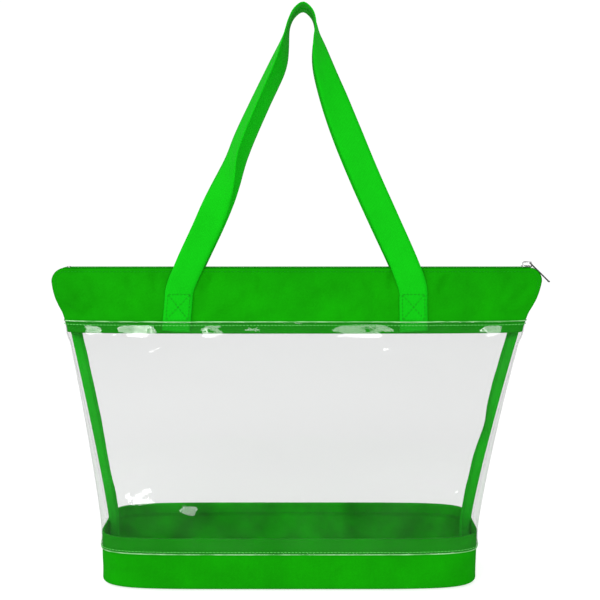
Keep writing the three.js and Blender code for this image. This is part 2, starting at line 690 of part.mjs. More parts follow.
makeBase();
makeBottomStop();
for (const [sideName, side] of [['left', -1], ['right', 1]]) {
  makeSideBinding(sideName, side);
  makeBoxBinding(sideName, side);
}
for (const [sideName, face] of [['front', -1], ['back', 1]]) {
  makeWall(sideName, face);
  makeZipTape(sideName, face);
  makeZipCoil(sideName, face);
  makeZipStitch(sideName, face);
  makeTopStop(sideName, face);
  for (const [endName, end] of [['left', -1], ['right', 1]]) {
    makeHandleEnd(sideName, face, endName, end);
    makeBoxStitch(sideName, face, endName, end);
  }
  makeHandleLoop(sideName, face);
}
makeSlider();
makePullTab();

export default bag;
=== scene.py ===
"""Looks of a clear-sided zip-top beach bag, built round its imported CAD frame.

Metres, +Z up, +X to the right, the front faces -Y. Face is -1 for the front wall and +1 for
the back wall. Heights, widths and depths that the frame holds are read from it.
"""

import math

import bpy
import numpy as np
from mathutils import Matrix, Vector, noise


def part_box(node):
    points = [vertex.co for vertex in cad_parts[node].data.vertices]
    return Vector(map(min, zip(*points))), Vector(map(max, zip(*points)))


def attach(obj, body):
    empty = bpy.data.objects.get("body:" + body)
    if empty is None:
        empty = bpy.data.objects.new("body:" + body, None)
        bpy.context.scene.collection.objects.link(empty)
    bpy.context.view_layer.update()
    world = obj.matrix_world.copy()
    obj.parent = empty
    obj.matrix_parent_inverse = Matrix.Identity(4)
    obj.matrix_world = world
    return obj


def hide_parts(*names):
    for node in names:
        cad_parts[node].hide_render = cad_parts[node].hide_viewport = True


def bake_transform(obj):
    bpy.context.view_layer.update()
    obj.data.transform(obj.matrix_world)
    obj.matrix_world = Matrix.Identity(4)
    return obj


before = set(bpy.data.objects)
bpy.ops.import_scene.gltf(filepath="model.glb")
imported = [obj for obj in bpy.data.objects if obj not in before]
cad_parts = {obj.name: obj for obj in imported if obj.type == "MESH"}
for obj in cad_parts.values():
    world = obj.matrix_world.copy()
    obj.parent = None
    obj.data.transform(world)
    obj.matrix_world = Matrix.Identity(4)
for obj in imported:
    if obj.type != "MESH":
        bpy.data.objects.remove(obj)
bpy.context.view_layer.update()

# ---------------------------------------------------------------- sizes

SIDES = (("front", -1), ("back", 1))

base_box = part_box("base_fabric")
band_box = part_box("front_top_band")
panel_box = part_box("front_clear_panel")
tape_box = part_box("back_zip_tape")
binding_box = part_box("right_side_binding")
box_binding_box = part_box("right_box_binding")
end_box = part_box("front_handle_end_right")
coil_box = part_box("back_zip_coil")

CLEAR = 0.0008  # thickness of the clear vinyl
FABRIC = 0.001
GAP = 0.0003
BASE_INSET = CLEAR + GAP
BASE_HALF_WIDTH = 0.197
BASE_HALF_DEPTH = base_box[1].y + BASE_INSET
HEM_TOP = base_box[1].z
STRAIGHT_TOP = 0.058
BAND_BOTTOM = band_box[0].z
BAND_BOTTOM_HALF_WIDTH = 0.238
BAND_BOTTOM_HALF_DEPTH = 0.021
TOP = band_box[1].z
MOUTH_HALF_WIDTH = 0.254
MOUTH_HALF_DEPTH = 0.009
CORNER_RADIUS = 0.014
CORNER_X = MOUTH_HALF_WIDTH - CORNER_RADIUS
CORNER_Z = TOP - CORNER_RADIUS
WALL_BOW = 1.15
BASE_SQUARENESS = 6
MOUTH_SQUARENESS = 3
SIDE_SEAM_TOP = 0.277
ZIP_END_Z = 0.295
LEAN = 0.0085  # the mouth stands this far to the right of the base
CLEAR_BOTTOM = panel_box[0].z
CLEAR_TOP = panel_box[1].z
BASE_SEAM_Z = 0.0415
BAND_SEAM_Z = CLEAR_TOP - 0.0035
BASE_EDGE = Vector((0.013, 0.008, 0.0055))  # rounding of the bottom edge

BINDING_INSET = 0.0026
BOX_BINDING_INSET = 0.0056  # to the middle of the tape

STRAP_WIDTH = 0.029
STRAP_THICK = 0.0014
STRAP_END_X = 0.1225
STRAP_END_Z = end_box[0].z
STRAP_HINGE_X = 0.1205
STRAP_HINGE_Z = end_box[1].z + GAP / 2
TWIST_END_Z = 0.573  # a handle is turned edge-on to the front from here up
HANDLE_PEAK = 0.5915
HANDLE_LEAN = 0.006
OVER_THREAD = 0.0017  # a handle clears the zip's stitches by this much more
BOX_SEAM_WIDTH = 0.023
BOX_SEAM_BOTTOM = 0.274
BOX_SEAM_TOP = 0.300

THREAD_RADIUS = 0.00038
DASH = 0.0026
DASH_PITCH = 0.0036

# ---------------------------------------------------------------- small maths


def lerp(a, b, t):
    return a + (b - a) * t


def clamp(v):
    return min(1.0, max(0.0, v))


def smooth(v, a, b):
    """0 up to a, 1 from b, and a soft step between."""
    t = clamp((v - a) / (b - a))
    return t * t * (3 - 2 * t)


def lean_at(z):
    """How far the bag leans to the right at one height."""
    return LEAN * clamp(z / TOP) ** 1.5


def soft_noise(x, z, size, seed):
    """Noise from -1 to 1 that varies over about size metres."""
    return noise.noise(Vector((x / size, seed * 7.3, z / size)))


def spaced(low, high, count):
    return [lerp(low, high, i / (count - 1)) for i in range(count)]


# ---------------------------------------------------------------- the wall's shape


def half_width(z):
    if z > CORNER_Z:
        return CORNER_X + math.sqrt(max(CORNER_RADIUS**2 - (min(z, TOP) - CORNER_Z) ** 2, 0))
    if z > BAND_BOTTOM:
        share = clamp((z - BAND_BOTTOM) / (CORNER_Z - BAND_BOTTOM))
        share = (share + smooth(z, BAND_BOTTOM, CORNER_Z - 0.004)) / 2
        return lerp(BAND_BOTTOM_HALF_WIDTH, MOUTH_HALF_WIDTH, share)
    rise = clamp((z - STRAIGHT_TOP) / (BAND_BOTTOM - STRAIGHT_TOP))
    return lerp(BASE_HALF_WIDTH, BAND_BOTTOM_HALF_WIDTH, rise**WALL_BOW)


def half_depth(z):
    if z > BAND_BOTTOM:
        return lerp(BAND_BOTTOM_HALF_DEPTH, MOUTH_HALF_DEPTH, clamp((z - BAND_BOTTOM) / (TOP - BAND_BOTTOM)))
    rise = clamp((z - STRAIGHT_TOP) / (BAND_BOTTOM - STRAIGHT_TOP))
    return lerp(BASE_HALF_DEPTH, BAND_BOTTOM_HALF_DEPTH, rise)


def edge_depth(z):
    return max(GAP, MOUTH_HALF_DEPTH * smooth(z, SIDE_SEAM_TOP, ZIP_END_Z))


def squareness(z):
    return lerp(BASE_SQUARENESS, MOUTH_SQUARENESS, clamp((z - STRAIGHT_TOP) / (TOP - STRAIGHT_TOP)))


def plan_depth(x, z):
    n = squareness(z)
    share = min(abs(x) / half_width(z), 1.0)
    return edge_depth(z) + (half_depth(z) - edge_depth(z)) * (1 - share**n) ** (1 / n)


def plan_normal(x, y, z):
    """Outward direction of the smooth wall in plan, for a point on the back wall."""
    n = squareness(z)
    a, b = half_width(z), max(half_depth(z), 1e-5)
    share_x = min(abs(x) / a, 1.0)
    share_y = min(max(y - edge_depth(z), 0.0) / max(b - edge_depth(z), 1e-5), 1.0)
    return Vector((math.copysign(share_x ** (n - 1) / a, x), share_y ** (n - 1) / b, 0)).normalized()


# Soft creases in the band's cloth: place, slant in degrees, length, width and height.
CREASES = (
    (0.228, 0.2985, 48, 0.020, 0.0050, -0.0014),
    (0.212, 0.3045, 66, 0.017, 0.0045, -0.0010),
    (0.240, 0.2850, 28, 0.018, 0.0040, -0.0012),
    (0.218, 0.2790, -52, 0.022, 0.0060, -0.0012),
    (0.176, 0.3145, 82, 0.010, 0.0050, -0.0009),
    (0.150, 0.3135, 70, 0.014, 0.0045, -0.0016),
    (0.096, 0.3135, -74, 0.014, 0.0045, -0.0016),
    (0.074, 0.2930, -38, 0.030, 0.0080, 0.0012),
    (0.168, 0.2890, 34, 0.030, 0.0090, 0.0013),
    (0.040, 0.3105, 86, 0.012, 0.0060, -0.0008),
    (0.012, 0.2890, 24, 0.034, 0.0090, -0.0010),
)


def rim_distance(x, z):
    """How far a place on a wall is from the mouth's outline."""
    if abs(x) < CORNER_X:
        return TOP - z
    if z > CORNER_Z:
        return CORNER_RADIUS - math.hypot(abs(x) - CORNER_X, z - CORNER_Z)
    return half_width(z) - abs(x)


CREASE_GAIN = 1.9


def cloth_ripple(face, x, z):
    rise = 0.0020 * soft_noise(x, z, 0.040, 3 + face) + 0.0009 * soft_noise(x, z, 0.014, 5 + face)
    shift = 0.004 if x * face < 0 else -0.003
    return rise + CREASE_GAIN * sum(bump_at(crease, abs(x) - shift, z) for crease in CREASES)


# Buckles in the clear sheet with two flat flanks: same order as the creases.
FOLDS = (
    (-0.165, 0.222, 40, 0.045, 0.0110, 0.0021),
    (-0.192, 0.178, 44, 0.030, 0.0075, 0.0014),
    (-0.160, 0.086, 8, 0.034, 0.0200, 0.0049),
    (-0.104, 0.078, -18, 0.014, 0.0120, 0.0031),
    (0.178, 0.094, -30, 0.016, 0.0140, 0.0032),
    (0.188, 0.200, -42, 0.034, 0.0085, 0.0016),
)


def bump_at(shape, x, z, ridge=False):
    """Height of one crease at a place, soft or with flat flanks."""
    place_x, place_z, slant, length, width, height = shape
    along_x, along_z = math.cos(math.radians(slant)), math.sin(math.radians(slant))
    dx, dz = x - place_x, z - place_z
    along = (dx * along_x + dz * along_z) / length
    across = (dz * along_x - dx * along_z) / width
    if ridge:
        return height * math.exp(-(along**4)) * max(0.0, 1 - abs(across))
    return height * math.exp(-along * along - across * across)


def vinyl_ripple(face, x, z):
    wide = 0.0016 * soft_noise(x + 0.3 * z, z, 0.110, 11 + face)
    streak = 0.0007 * soft_noise(2.2 * x - 0.5 * z, 0.4 * z, 0.060, 13 + face)
    bent_x = -face * x + 0.005 * soft_noise(x, z, 0.012, 61)
    bent_z = z + 0.002 * soft_noise(x, z, 0.010, 67)
    return wide + streak + sum(bump_at(fold, bent_x, bent_z, ridge=True) for fold in FOLDS)


def ripple(face, x, z):
    """How far the wall's cloth or vinyl stands off its smooth shape."""
    under_strap = 1 - smooth(abs(abs(x) - 0.5 * (STRAP_END_X + STRAP_HINGE_X)), 0.016, 0.026)
    band = smooth(z, BAND_BOTTOM - 0.022, BAND_BOTTOM + 0.004)
    fade = smooth(half_width(z) - abs(x), 0.001, 0.018) * smooth(z, 0.056, 0.070)
    fade *= 1 - under_strap * smooth(z, BAND_BOTTOM - 0.02, BAND_BOTTOM)
    rise = 0.0
    if band < 1:
        rise += (1 - band) * vinyl_ripple(face, x, z)
    if band > 0:
        sewn = smooth(z, CLEAR_TOP - 0.006, CLEAR_TOP + 0.014)
        rise += band * sewn * cloth_ripple(face, x, z) * smooth(rim_distance(x, z), 0.001, 0.010)
    return rise * fade


def on_wall(face, x, z, out):
    """Point on a wall, moved out from its cloth or vinyl by a distance."""
    y = plan_depth(x, z)
    normal = plan_normal(x, y, z)
    point = Vector((x, y, z)) + normal * (out + ripple(face, x, z))
    return Vector((point.x, face * point.y, point.z))


def row_places(z, columns):
    """X of evenly spaced places along a wall at one height, from the left seam to the right."""
    turns = np.linspace(0, math.pi, 161)
    n = squareness(z)
    from_turns = -np.sign(np.cos(turns)) * np.abs(np.cos(turns)) ** (2 / n)
    shares = np.unique(np.concatenate([from_turns, np.linspace(-1, 1, 81)]))
    x = shares * half_width(z)
    rest = np.clip(1 - np.abs(shares) ** n, 0, 1) ** (1 / n)
    y = edge_depth(z) + (half_depth(z) - edge_depth(z)) * rest
    travel = np.concatenate([[0], np.cumsum(np.hypot(np.diff(x), np.diff(y)))])
    return np.interp(np.linspace(0, travel[-1], columns), travel, x)


def wall_grid(face, heights, out_at, columns):
    """Rows of points over a wall; out_at(x, z) is how far each stands out."""
    grid = []
    for z in heights:
        grid.append([on_wall(face, float(x), z, out_at(float(x), z)) for x in row_places(z, columns)])
    return grid


# ---------------------------------------------------------------- meshes


def new_piece(name, points, faces, material, coords=None):
    """Mesh object from points of the upright bag, which are leaned here."""
    mesh = bpy.data.meshes.new(name)
    mesh.from_pydata([(p[0] + lean_at(p[2]), p[1], p[2]) for p in points], [], faces)
    mesh.materials.append(material)
    for polygon in mesh.polygons:
        polygon.use_smooth = True
    if coords is not None:
        layer = mesh.uv_layers.new(name="cloth")
        for loop in mesh.loops:
            layer.data[loop.index].uv = coords[loop.vertex_index]
    mesh.update()
    piece = bpy.data.objects.new(name, mesh)
    bpy.context.scene.collection.objects.link(piece)
    return piece


def lengths_over(grid):
    """Distance along the row and up the column of each grid point, in metres, from the middle."""
    middle = len(grid[0]) // 2
    coords = []
    up = 0.0
    for r, row in enumerate(grid):
        if r:
            up += (row[middle] - grid[r - 1][middle]).length
        along = [0.0]
        for c in range(1, len(row)):
            along.append(along[-1] + (row[c] - row[c - 1]).length)
        coords.append([(a - along[middle], up) for a in along])
    return coords


def quads_between(lower, upper, flip=False):
    quads = []
    for i in range(len(lower) - 1):
        quad = (lower[i], lower[i + 1], upper[i + 1], upper[i])
        quads.append(quad[::-1] if flip else quad)
    return quads


def sheet_piece(name, outer, inner, material):
    """Thin closed sheet between two grids of points that match."""
    rows, cols = len(outer), len(outer[0])
    points = [p for row in outer for p in row] + [p for row in inner for p in row]
    flat = [c for row in lengths_over(outer) for c in row]
    at = [[[f * rows * cols + r * cols + c for c in range(cols)] for r in range(rows)] for f in (0, 1)]
    faces = []
    for r in range(rows - 1):
        faces += quads_between(at[0][r], at[0][r + 1])
        faces += quads_between(at[1][r], at[1][r + 1], flip=True)
    faces += quads_between(at[0][0], at[1][0], flip=True)
    faces += quads_between(at[0][-1], at[1][-1])
    for c, flip in ((0, False), (cols - 1, True)):
        edge = [[at[f][r][c] for r in range(rows)] for f in (0, 1)]
        faces += quads_between(edge[0], edge[1], flip=flip)
    piece = new_piece(name, points, faces, material, flat + flat)
    face_out(piece)
    return piece


def face_out(piece):
    """Turns the faces of a closed mesh to point out."""
    mesh = piece.data
    volume = 0.0
    for polygon in mesh.polygons:
        corners = [mesh.vertices[i].co for i in polygon.vertices]
        for i in range(1, len(corners) - 1):
            volume += corners[0].dot(corners[i].cross(corners[i + 1]))
    if volume < 0:
        mesh.flip_normals()


def tube_piece(name, rings, material, coords=None):
    """Closed tube through rings of points, capped at both ends."""
    count = len(rings[0])
    points = [p for ring in rings for p in ring]
    faces = []
    for r in range(len(rings) - 1):
        for i in range(count):
            j = (i + 1) % count
            faces.append((r * count + i, r * count + j, (r + 1) * count + j, (r + 1) * count + i))
    faces.append(tuple(reversed(range(count))))
    faces.append(tuple(range((len(rings) - 1) * count, len(rings) * count)))
    piece = new_piece(name, points, faces, material, coords)
    face_out(piece)
    return piece


def ring_round(centre, along, radius, sides):
    side = along.orthogonal().normalized()
    up = along.cross(side).normalized()
    turns = [2 * math.pi * i / sides for i in range(sides)]
    return [centre + radius * (side * math.cos(t) + up * math.sin(t)) for t in turns]


def path_walker(path):
    """Function that gives the point at a distance along a path, and the path's length."""
    points = np.array([tuple(p) for p in path])
    steps = np.linalg.norm(np.diff(points, axis=0), axis=1)
    travel = np.concatenate([[0], np.cumsum(steps)])

    def at(distance):
        return Vector([float(np.interp(distance, travel, points[:, i])) for i in range(3)])

    return at, float(travel[-1])


def stitches(name, paths, material, radius=THREAD_RADIUS, dash=DASH, pitch=DASH_PITCH):
    """Dashes of thread along paths, each a short plump stitch with tapered ends."""
    sides = 6
    points, faces = [], []
    for path in paths:
        at, length = path_walker(path)
        count = max(1, int(length / pitch))
        step = length / count
        for i in range(count):
            start = (i + 0.5) * step - dash / 2
            stations = [(0.0, 0.35), (0.15, 0.9), (0.5, 1.0), (0.85, 0.9), (1.0, 0.35)]
            along = (at(start + dash) - at(start)).normalized()
            first = len(points)
            for share, thick in stations:
                points += ring_round(at(start + share * dash), along, radius * thick, sides)
            for r in range(len(stations) - 1):
                for k in range(sides):
                    a, b = first + r * sides + k, first + r * sides + (k + 1) % sides
                    faces.append((a, b, b + sides, a + sides))
            faces.append(tuple(first + k for k in reversed(range(sides))))
            last = first + (len(stations) - 1) * sides
            faces.append(tuple(last + k for k in range(sides)))
    return new_piece(name, points, faces, material)


# ---------------------------------------------------------------- materials


def new_material(name):
    material = bpy.data.materials.new(name)
    material.use_nodes = True
    material.node_tree.nodes.clear()
    output = material.node_tree.nodes.new("ShaderNodeOutputMaterial")
    return material, output


def add(material, kind, inputs=None, **settings):
    node = material.node_tree.nodes.new("ShaderNode" + kind)
    for key, value in settings.items():
        setattr(node, key, value)
    for key, value in (inputs or {}).items():
        if isinstance(value, bpy.types.NodeSocket):
            material.node_tree.links.new(value, node.inputs[key])
        else:
            node.inputs[key].default_value = value
    return node


def surface(material, output, socket):
    material.node_tree.links.new(socket, output.inputs["Surface"])


def clouds(material, place, scale, detail=2.0, roughness=0.5):
    """Noise fixed to the object; scale is about how many patches there are in a metre."""
    inputs = {"Vector": place.outputs["Object"], "Scale": scale, "Detail": detail, "Roughness": roughness}
    return add(material, "TexNoise", inputs).outputs["Fac"]


def grey(value):
    return (value, value, value)


def bump(material, height, strength, distance, under=None):
    """Relief from a height, on top of the relief under it."""
    inputs = {"Height": height, "Strength": strength, "Distance": distance}
    if under is not None:
        inputs["Normal"] = under
    return add(material, "Bump", inputs).outputs["Normal"]


def ramp(material, factor, stops):
    node = add(material, "ValToRGB", {"Fac": factor})
    elements = node.color_ramp.elements
    while len(elements) < len(stops):
        elements.new(0.5)
    for element, (place, colour) in zip(elements, stops):
        element.position = place
        element.color = (*colour, 1)
    return node.outputs["Color"]


def scaled(colour, share):
    return tuple(min(1.0, c * share) for c in colour)


def wave_scale(period):
    """Scale of a wave texture whose bands are period metres apart."""
    return 2 * math.pi / (20 * period)


def woven_height(material, coords, warp, weft):
    """Height of a weave: ribs of warp and weft threads multiplied together."""
    bands = []
    for direction, period in (("X", warp), ("Y", weft)):
        wave = add(
            material,
            "TexWave",
            {"Vector": coords, "Scale": wave_scale(period), "Distortion": 0.4},
            bands_direction=direction,
        )
        bands.append(wave.outputs["Fac"])
    return add(material, "Math", {0: bands[0], 1: bands[1]}, operation="MULTIPLY").outputs["Value"]


def fabric_material(name, colour, warp, weft, roughness=0.8, sheen=0.2, mottle=0.14, weave_depth=0.35):
    material, output = new_material(name)
    place = add(material, "TexCoord")
    flat = add(material, "UVMap", uv_map="cloth")
    weave = woven_height(material, flat.outputs["UV"], warp, weft)
    cloudy = clouds(material, place, 20.0, 6.0, 0.6)
    shades = ramp(
        material,
        cloudy,
        [(0.30, scaled(colour, 1 - mottle)), (0.52, colour), (0.72, scaled(colour, 1 + mottle))],
    )
    thread = add(material, "TexNoise", {"Vector": flat.outputs["UV"], "Scale": 1400.0, "Detail": 2.0})
    grain = ramp(material, thread.outputs["Fac"], [(0.25, grey(0.88)), (0.75, grey(1))])
    # Painted shade: the low parts of the weave are darkened, down to 0.8 at the bottom of its valleys.
    valley_shade = ramp(material, weave, [(0.0, grey(0.80)), (0.6, grey(1))])
    multiply = {"data_type": "RGBA", "blend_type": "MULTIPLY"}
    mix = add(material, "Mix", {"Factor": 1.0, "A": shades, "B": grain}, **multiply)
    with_valley_shade = add(material, "Mix", {"Factor": 1.0, "A": mix.outputs["Result"], "B": valley_shade}, **multiply)
    relief = bump(material, weave, weave_depth, 0.0002)
    slack = clouds(material, place, 75.0, 4.0)
    folds = bump(material, slack, 0.55, 0.0028, relief)
    shader = add(
        material,
        "BsdfPrincipled",
        {
            "Base Color": with_valley_shade.outputs["Result"],
            "Roughness": roughness,
            "Sheen Weight": sheen,
            "Sheen Roughness": 0.45,
            "Specular IOR Level": 0.04,
            "Normal": folds,
        },
    )
    surface(material, output, shader.outputs["BSDF"])
    return material


def vinyl_material():
    """Clear soft vinyl: tinted and see-through, glossier at a slant, a little hazed and uneven."""
    material, output = new_material("clear_vinyl")
    place = add(material, "TexCoord")
    broad = clouds(material, place, 16.0, 3.0)
    fine = clouds(material, place, 90.0, 2.0)
    normal = bump(material, fine, 0.10, 0.001, bump(material, broad, 0.30, 0.004))
    clear = add(material, "BsdfTransparent", {"Color": (0.925, 0.927, 0.926, 1)})
    gloss = add(material, "BsdfGlossy", {"Color": (1, 1, 1, 1), "Roughness": 0.06, "Normal": normal})
    haze = add(material, "BsdfDiffuse", {"Color": (0.9, 0.93, 0.91, 1), "Normal": normal})
    facing = add(material, "LayerWeight", {"Blend": 0.5, "Normal": normal}).outputs["Facing"]
    edge_on = add(material, "Math", {0: facing, 1: 5.0}, operation="POWER").outputs["Value"]
    share = add(material, "Math", {0: edge_on, 1: 0.18, 2: 0.024}, operation="MULTIPLY_ADD").outputs["Value"]
    shine = add(material, "MixShader", {0: share, 1: clear.outputs["BSDF"], 2: gloss.outputs["BSDF"]})
    smudge = ramp(material, broad, [(0.35, grey(0.0004)), (0.70, grey(0.004))])
    whole = add(material, "MixShader", {0: smudge, 1: shine.outputs["Shader"], 2: haze.outputs["BSDF"]})
    surface(material, output, whole.outputs["Shader"])
    return material


def vinyl_edge_material():
    """The vinyl's cut edge, which gathers light; its pale green is a painted highlight, patchy along the
    edge.
    """
    material, output = new_material("vinyl_edge_highlight")
    place = add(material, "TexCoord")
    patchy = clouds(material, place, 60.0, 2.0)
    # Painted highlight: the edge's colour runs in patches from green to pale green.
    tone = ramp(material, patchy, [(0.35, (0.08, 0.40, 0.07)), (0.65, (0.36, 0.72, 0.34))])
    shine = {"Base Color": tone, "Roughness": 0.3, "Specular IOR Level": 0.3}
    shader = add(material, "BsdfPrincipled", shine)
    surface(material, output, shader.outputs["BSDF"])
    return material


def thread_material(name, colour):
    material, output = new_material(name)
    place = add(material, "TexCoord")
    twist = add(
        material,
        "TexWave",
        {"Vector": place.outputs["Object"], "Scale": wave_scale(0.0006), "Distortion": 1.0},
        bands_direction="DIAGONAL",
    )
    # Painted shade and highlight: the thread is darker in the twist's grooves and lighter on its ridges,
    # following the same bands as its relief.
    tone = ramp(material, twist.outputs["Fac"], [(0.0, scaled(colour, 0.75)), (1.0, scaled(colour, 1.1))])
    relief = bump(material, twist.outputs["Fac"], 0.4, 0.0001)
    shader = add(
        material,
        "BsdfPrincipled",
        {"Base Color": tone, "Roughness": 0.6, "Specular IOR Level": 0.1, "Normal": relief},
    )
    surface(material, output, shader.outputs["BSDF"])
    return material


def nylon_material(colour):
    """Smooth moulded nylon of the zip's coil."""
    material, output = new_material("zip_nylon")
    place = add(material, "TexCoord")
    cloudy = clouds(material, place, 400.0, 2.0)
    tone = ramp(material, cloudy, [(0.3, scaled(colour, 0.8)), (0.7, scaled(colour, 1.15))])
    rough = ramp(material, cloudy, [(0.3, grey(0.28)), (0.7, grey(0.42))])
    shader = add(material, "BsdfPrincipled", {"Base Color": tone, "Roughness": rough})
    surface(material, output, shader.outputs["BSDF"])
    return material


def metal_material():
    material, output = new_material("nickel_plate")
    place = add(material, "TexCoord")
    worn = clouds(material, place, 500.0, 4.0)
    brushed = clouds(material, place, 2600.0, 1.0)
    tone = ramp(material, worn, [(0.3, (0.42, 0.42, 0.43)), (0.7, (0.66, 0.66, 0.65))])
    rough = ramp(material, worn, [(0.3, grey(0.20)), (0.7, grey(0.38))])
    relief = bump(material, brushed, 0.12, 0.0001)
    shader = add(
        material,
        "BsdfPrincipled",
        {"Base Color": tone, "Metallic": 1.0, "Roughness": rough, "Normal": relief},
    )
    surface(material, output, shader.outputs["BSDF"])
    return material


CLOTH_GREEN = (0.004, 0.320, 0.0)
INSIDE_GREEN = (0.006, 0.430, 0.001)
WEBBING_GREEN = (0.003, 0.510, 0.004)
BINDING_GREEN = (0.006, 0.460, 0.006)
THREAD_GREEN = (0.004, 0.300, 0.004)
SEAM_THREAD = (0.120, 0.640, 0.110)
TAPE_GREEN = (0.006, 0.340, 0.003)
COIL_GREEN = (0.008, 0.300, 0.006)

cloth = fabric_material("green_cloth", CLOTH_GREEN, 0.0009, 0.0009, roughness=0.8, sheen=0.0)
# The inside's strong mottle is partly the coated cloth's uneven tone and partly painted reflection: its
# light patches stand in for reflections on the coating.
inside_cloth = fabric_material(
    "coated_inside", INSIDE_GREEN, 0.0009, 0.0009, roughness=0.30, sheen=0.0, mottle=0.45
)
webbing = fabric_material(
    "woven_webbing", WEBBING_GREEN, 0.0016, 0.0007, roughness=0.62, sheen=0.02, mottle=0.05, weave_depth=0.5
)
binding = fabric_material(
    "seam_binding", BINDING_GREEN, 0.0008, 0.0014, roughness=0.6, sheen=0.05, mottle=0.12
)
tape_cloth = fabric_material(
    "zip_tape_cloth", TAPE_GREEN, 0.0006, 0.0012, roughness=0.7, sheen=0.0, mottle=0.08
)
vinyl = vinyl_material()
vinyl_edge_highlight = vinyl_edge_material()
strap_thread = thread_material("strap_thread", THREAD_GREEN)
seam_thread = thread_material("seam_thread", SEAM_THREAD)
nylon = nylon_material(COIL_GREEN)
nickel = metal_material()

# ---------------------------------------------------------------- placing wall pieces


def swings_open(piece):
    """Bakes a wall piece's placement into its mesh; a share worked out for each point is not used."""
    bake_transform(piece)
    for vertex in piece.data.vertices:
        x, _, z = vertex.co
        smooth(half_width(z) - abs(x - lean_at(z)), 0.030, 0.112)


# ---------------------------------------------------------------- base


def superellipse(half_x, half_y, power, count):
    """Evenly spaced points round a superellipse."""
    turns = np.linspace(0, 2 * math.pi, 2881)
    x = half_x * np.sign(np.cos(turns)) * np.abs(np.cos(turns)) ** (2 / power)
    y = half_y * np.sign(np.sin(turns)) * np.abs(np.sin(turns)) ** (2 / power)
    travel = np.concatenate([[0], np.cumsum(np.hypot(np.diff(x), np.diff(y)))])
    even = np.linspace(0, travel[-1], count, endpoint=False)
    return list(zip(np.interp(even, travel, x), np.interp(even, travel, y)))


def base_dent(x, y, z):
    """How far the base's cloth is drawn in: soft dents, most at the lower corners."""
    corner = smooth(abs(x), 0.150, 0.190) * smooth(abs(y), 0.025, 0.055)
    low = smooth(HEM_TOP - z, 0.014, 0.030)
    waves = 0.0011 * soft_noise(x, z * 1.5, 0.050, 21 + math.copysign(1, y))
    tuck = 0.0018 * math.exp(-(((z - 0.015) / 0.008) ** 2)) * corner
    return (abs(waves) + tuck) * low


HEM_FOLD = 0.0009
HEM_THREAD_INSET = 0.0012


def make_base():
    columns = 240
    outline = superellipse(1, 1, BASE_SQUARENESS, columns)
    # Rows from the middle of the underside to the hem, then down inside to the floor.
    rows = [(share, 0.0) for share in (0.02, 0.2, 0.4, 0.6, 0.75, 0.87, 0.95, 1.0)]
    rows += [(1.0, turn) for turn in spaced(0.0, 1.0, 8)[1:]]
    wall_rows = spaced(BASE_EDGE.z, HEM_TOP, 26)[1:]

    def ring(share, turn, rise, skin):
        upright = math.sin(turn * math.pi / 2)
        lean = math.cos(turn * math.pi / 2)
        reach_x = BASE_HALF_WIDTH - BASE_INSET - skin * upright - BASE_EDGE.x * (1 - upright)
        reach_y = BASE_HALF_DEPTH - BASE_INSET - skin * upright - BASE_EDGE.y * (1 - upright)
        z = BASE_EDGE.z * (1 - lean) + skin * lean + rise
        points = []
        for x, y in outline:
            pull = base_dent(reach_x * x, reach_y * y, z) if turn > 0.4 else 0.0
            floor = 0.0
            if skin and turn == 0:
                floor = 0.0012 * (0.5 + 0.5 * soft_noise(reach_x * x * share, reach_y * y * share, 0.03, 31))
                floor *= smooth(1 - share, 0.0, 0.2)
            length = math.hypot(x, y)
            inward = pull / max(length, 1e-6)
            points.append(Vector((
                reach_x * x * share - inward * x,
                reach_y * y * share - inward * y,
                z + floor,
            )))
        return points

    def stack(skin, hem):
        rings = [ring(share, turn, 0.0, skin) for share, turn in rows]
        for z in wall_rows:
            fold = hem * smooth(z, HEM_TOP - 0.0135, HEM_TOP - 0.0125)
            rings.append(ring(1.0, 1.0, z - BASE_EDGE.z, skin + fold))
        return rings

    outer = stack(0.0, 0.0)
    inner = stack(FABRIC, HEM_FOLD)
    rings = outer + inner[::-1]
    around = [2 * (BASE_HALF_WIDTH + BASE_HALF_DEPTH) * 2 * i / columns for i in range(columns)]
    points, coords, faces = [], [], []
    up = 0.0
    for r, ring_points in enumerate(rings):
        if r:
            up += (ring_points[0] - rings[r - 1][0]).length
        for i, point in enumerate(ring_points):
            points.append(point)
            coords.append((around[i], up) if abs(point.z) > 0.003 else (point.x, point.y))
    for r in range(len(rings) - 1):
        for i in range(columns):
            j = (i + 1) % columns
            faces.append((r * columns + i, r * columns + j, (r + 1) * columns + j, (r + 1) * columns + i))
    faces.append(tuple(reversed(range(columns))))
    faces.append(tuple(range((len(rings) - 1) * columns, len(rings) * columns)))
    base = new_piece("base_tub", points, faces, cloth, coords)
    base.data.materials.append(inside_cloth)
    inside_from = (len(outer) - 1) * columns
    for polygon in base.data.polygons:
        if polygon.index >= inside_from:
            polygon.material_index = 1
    face_out(base)
    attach(base, "bag_base")
    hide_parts("base_fabric")
    inset = BASE_INSET + FABRIC + HEM_THREAD_INSET
    hem = superellipse(BASE_HALF_WIDTH - inset, BASE_HALF_DEPTH - inset, BASE_SQUARENESS, 400)
    path = [Vector((x, y, HEM_TOP - 0.011)) for x, y in hem + hem[:1]]
    row = stitches("hem_stitch", [path], strap_thread)
    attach(row, "bag_base")
    return base


# ---------------------------------------------------------------- seam bindings


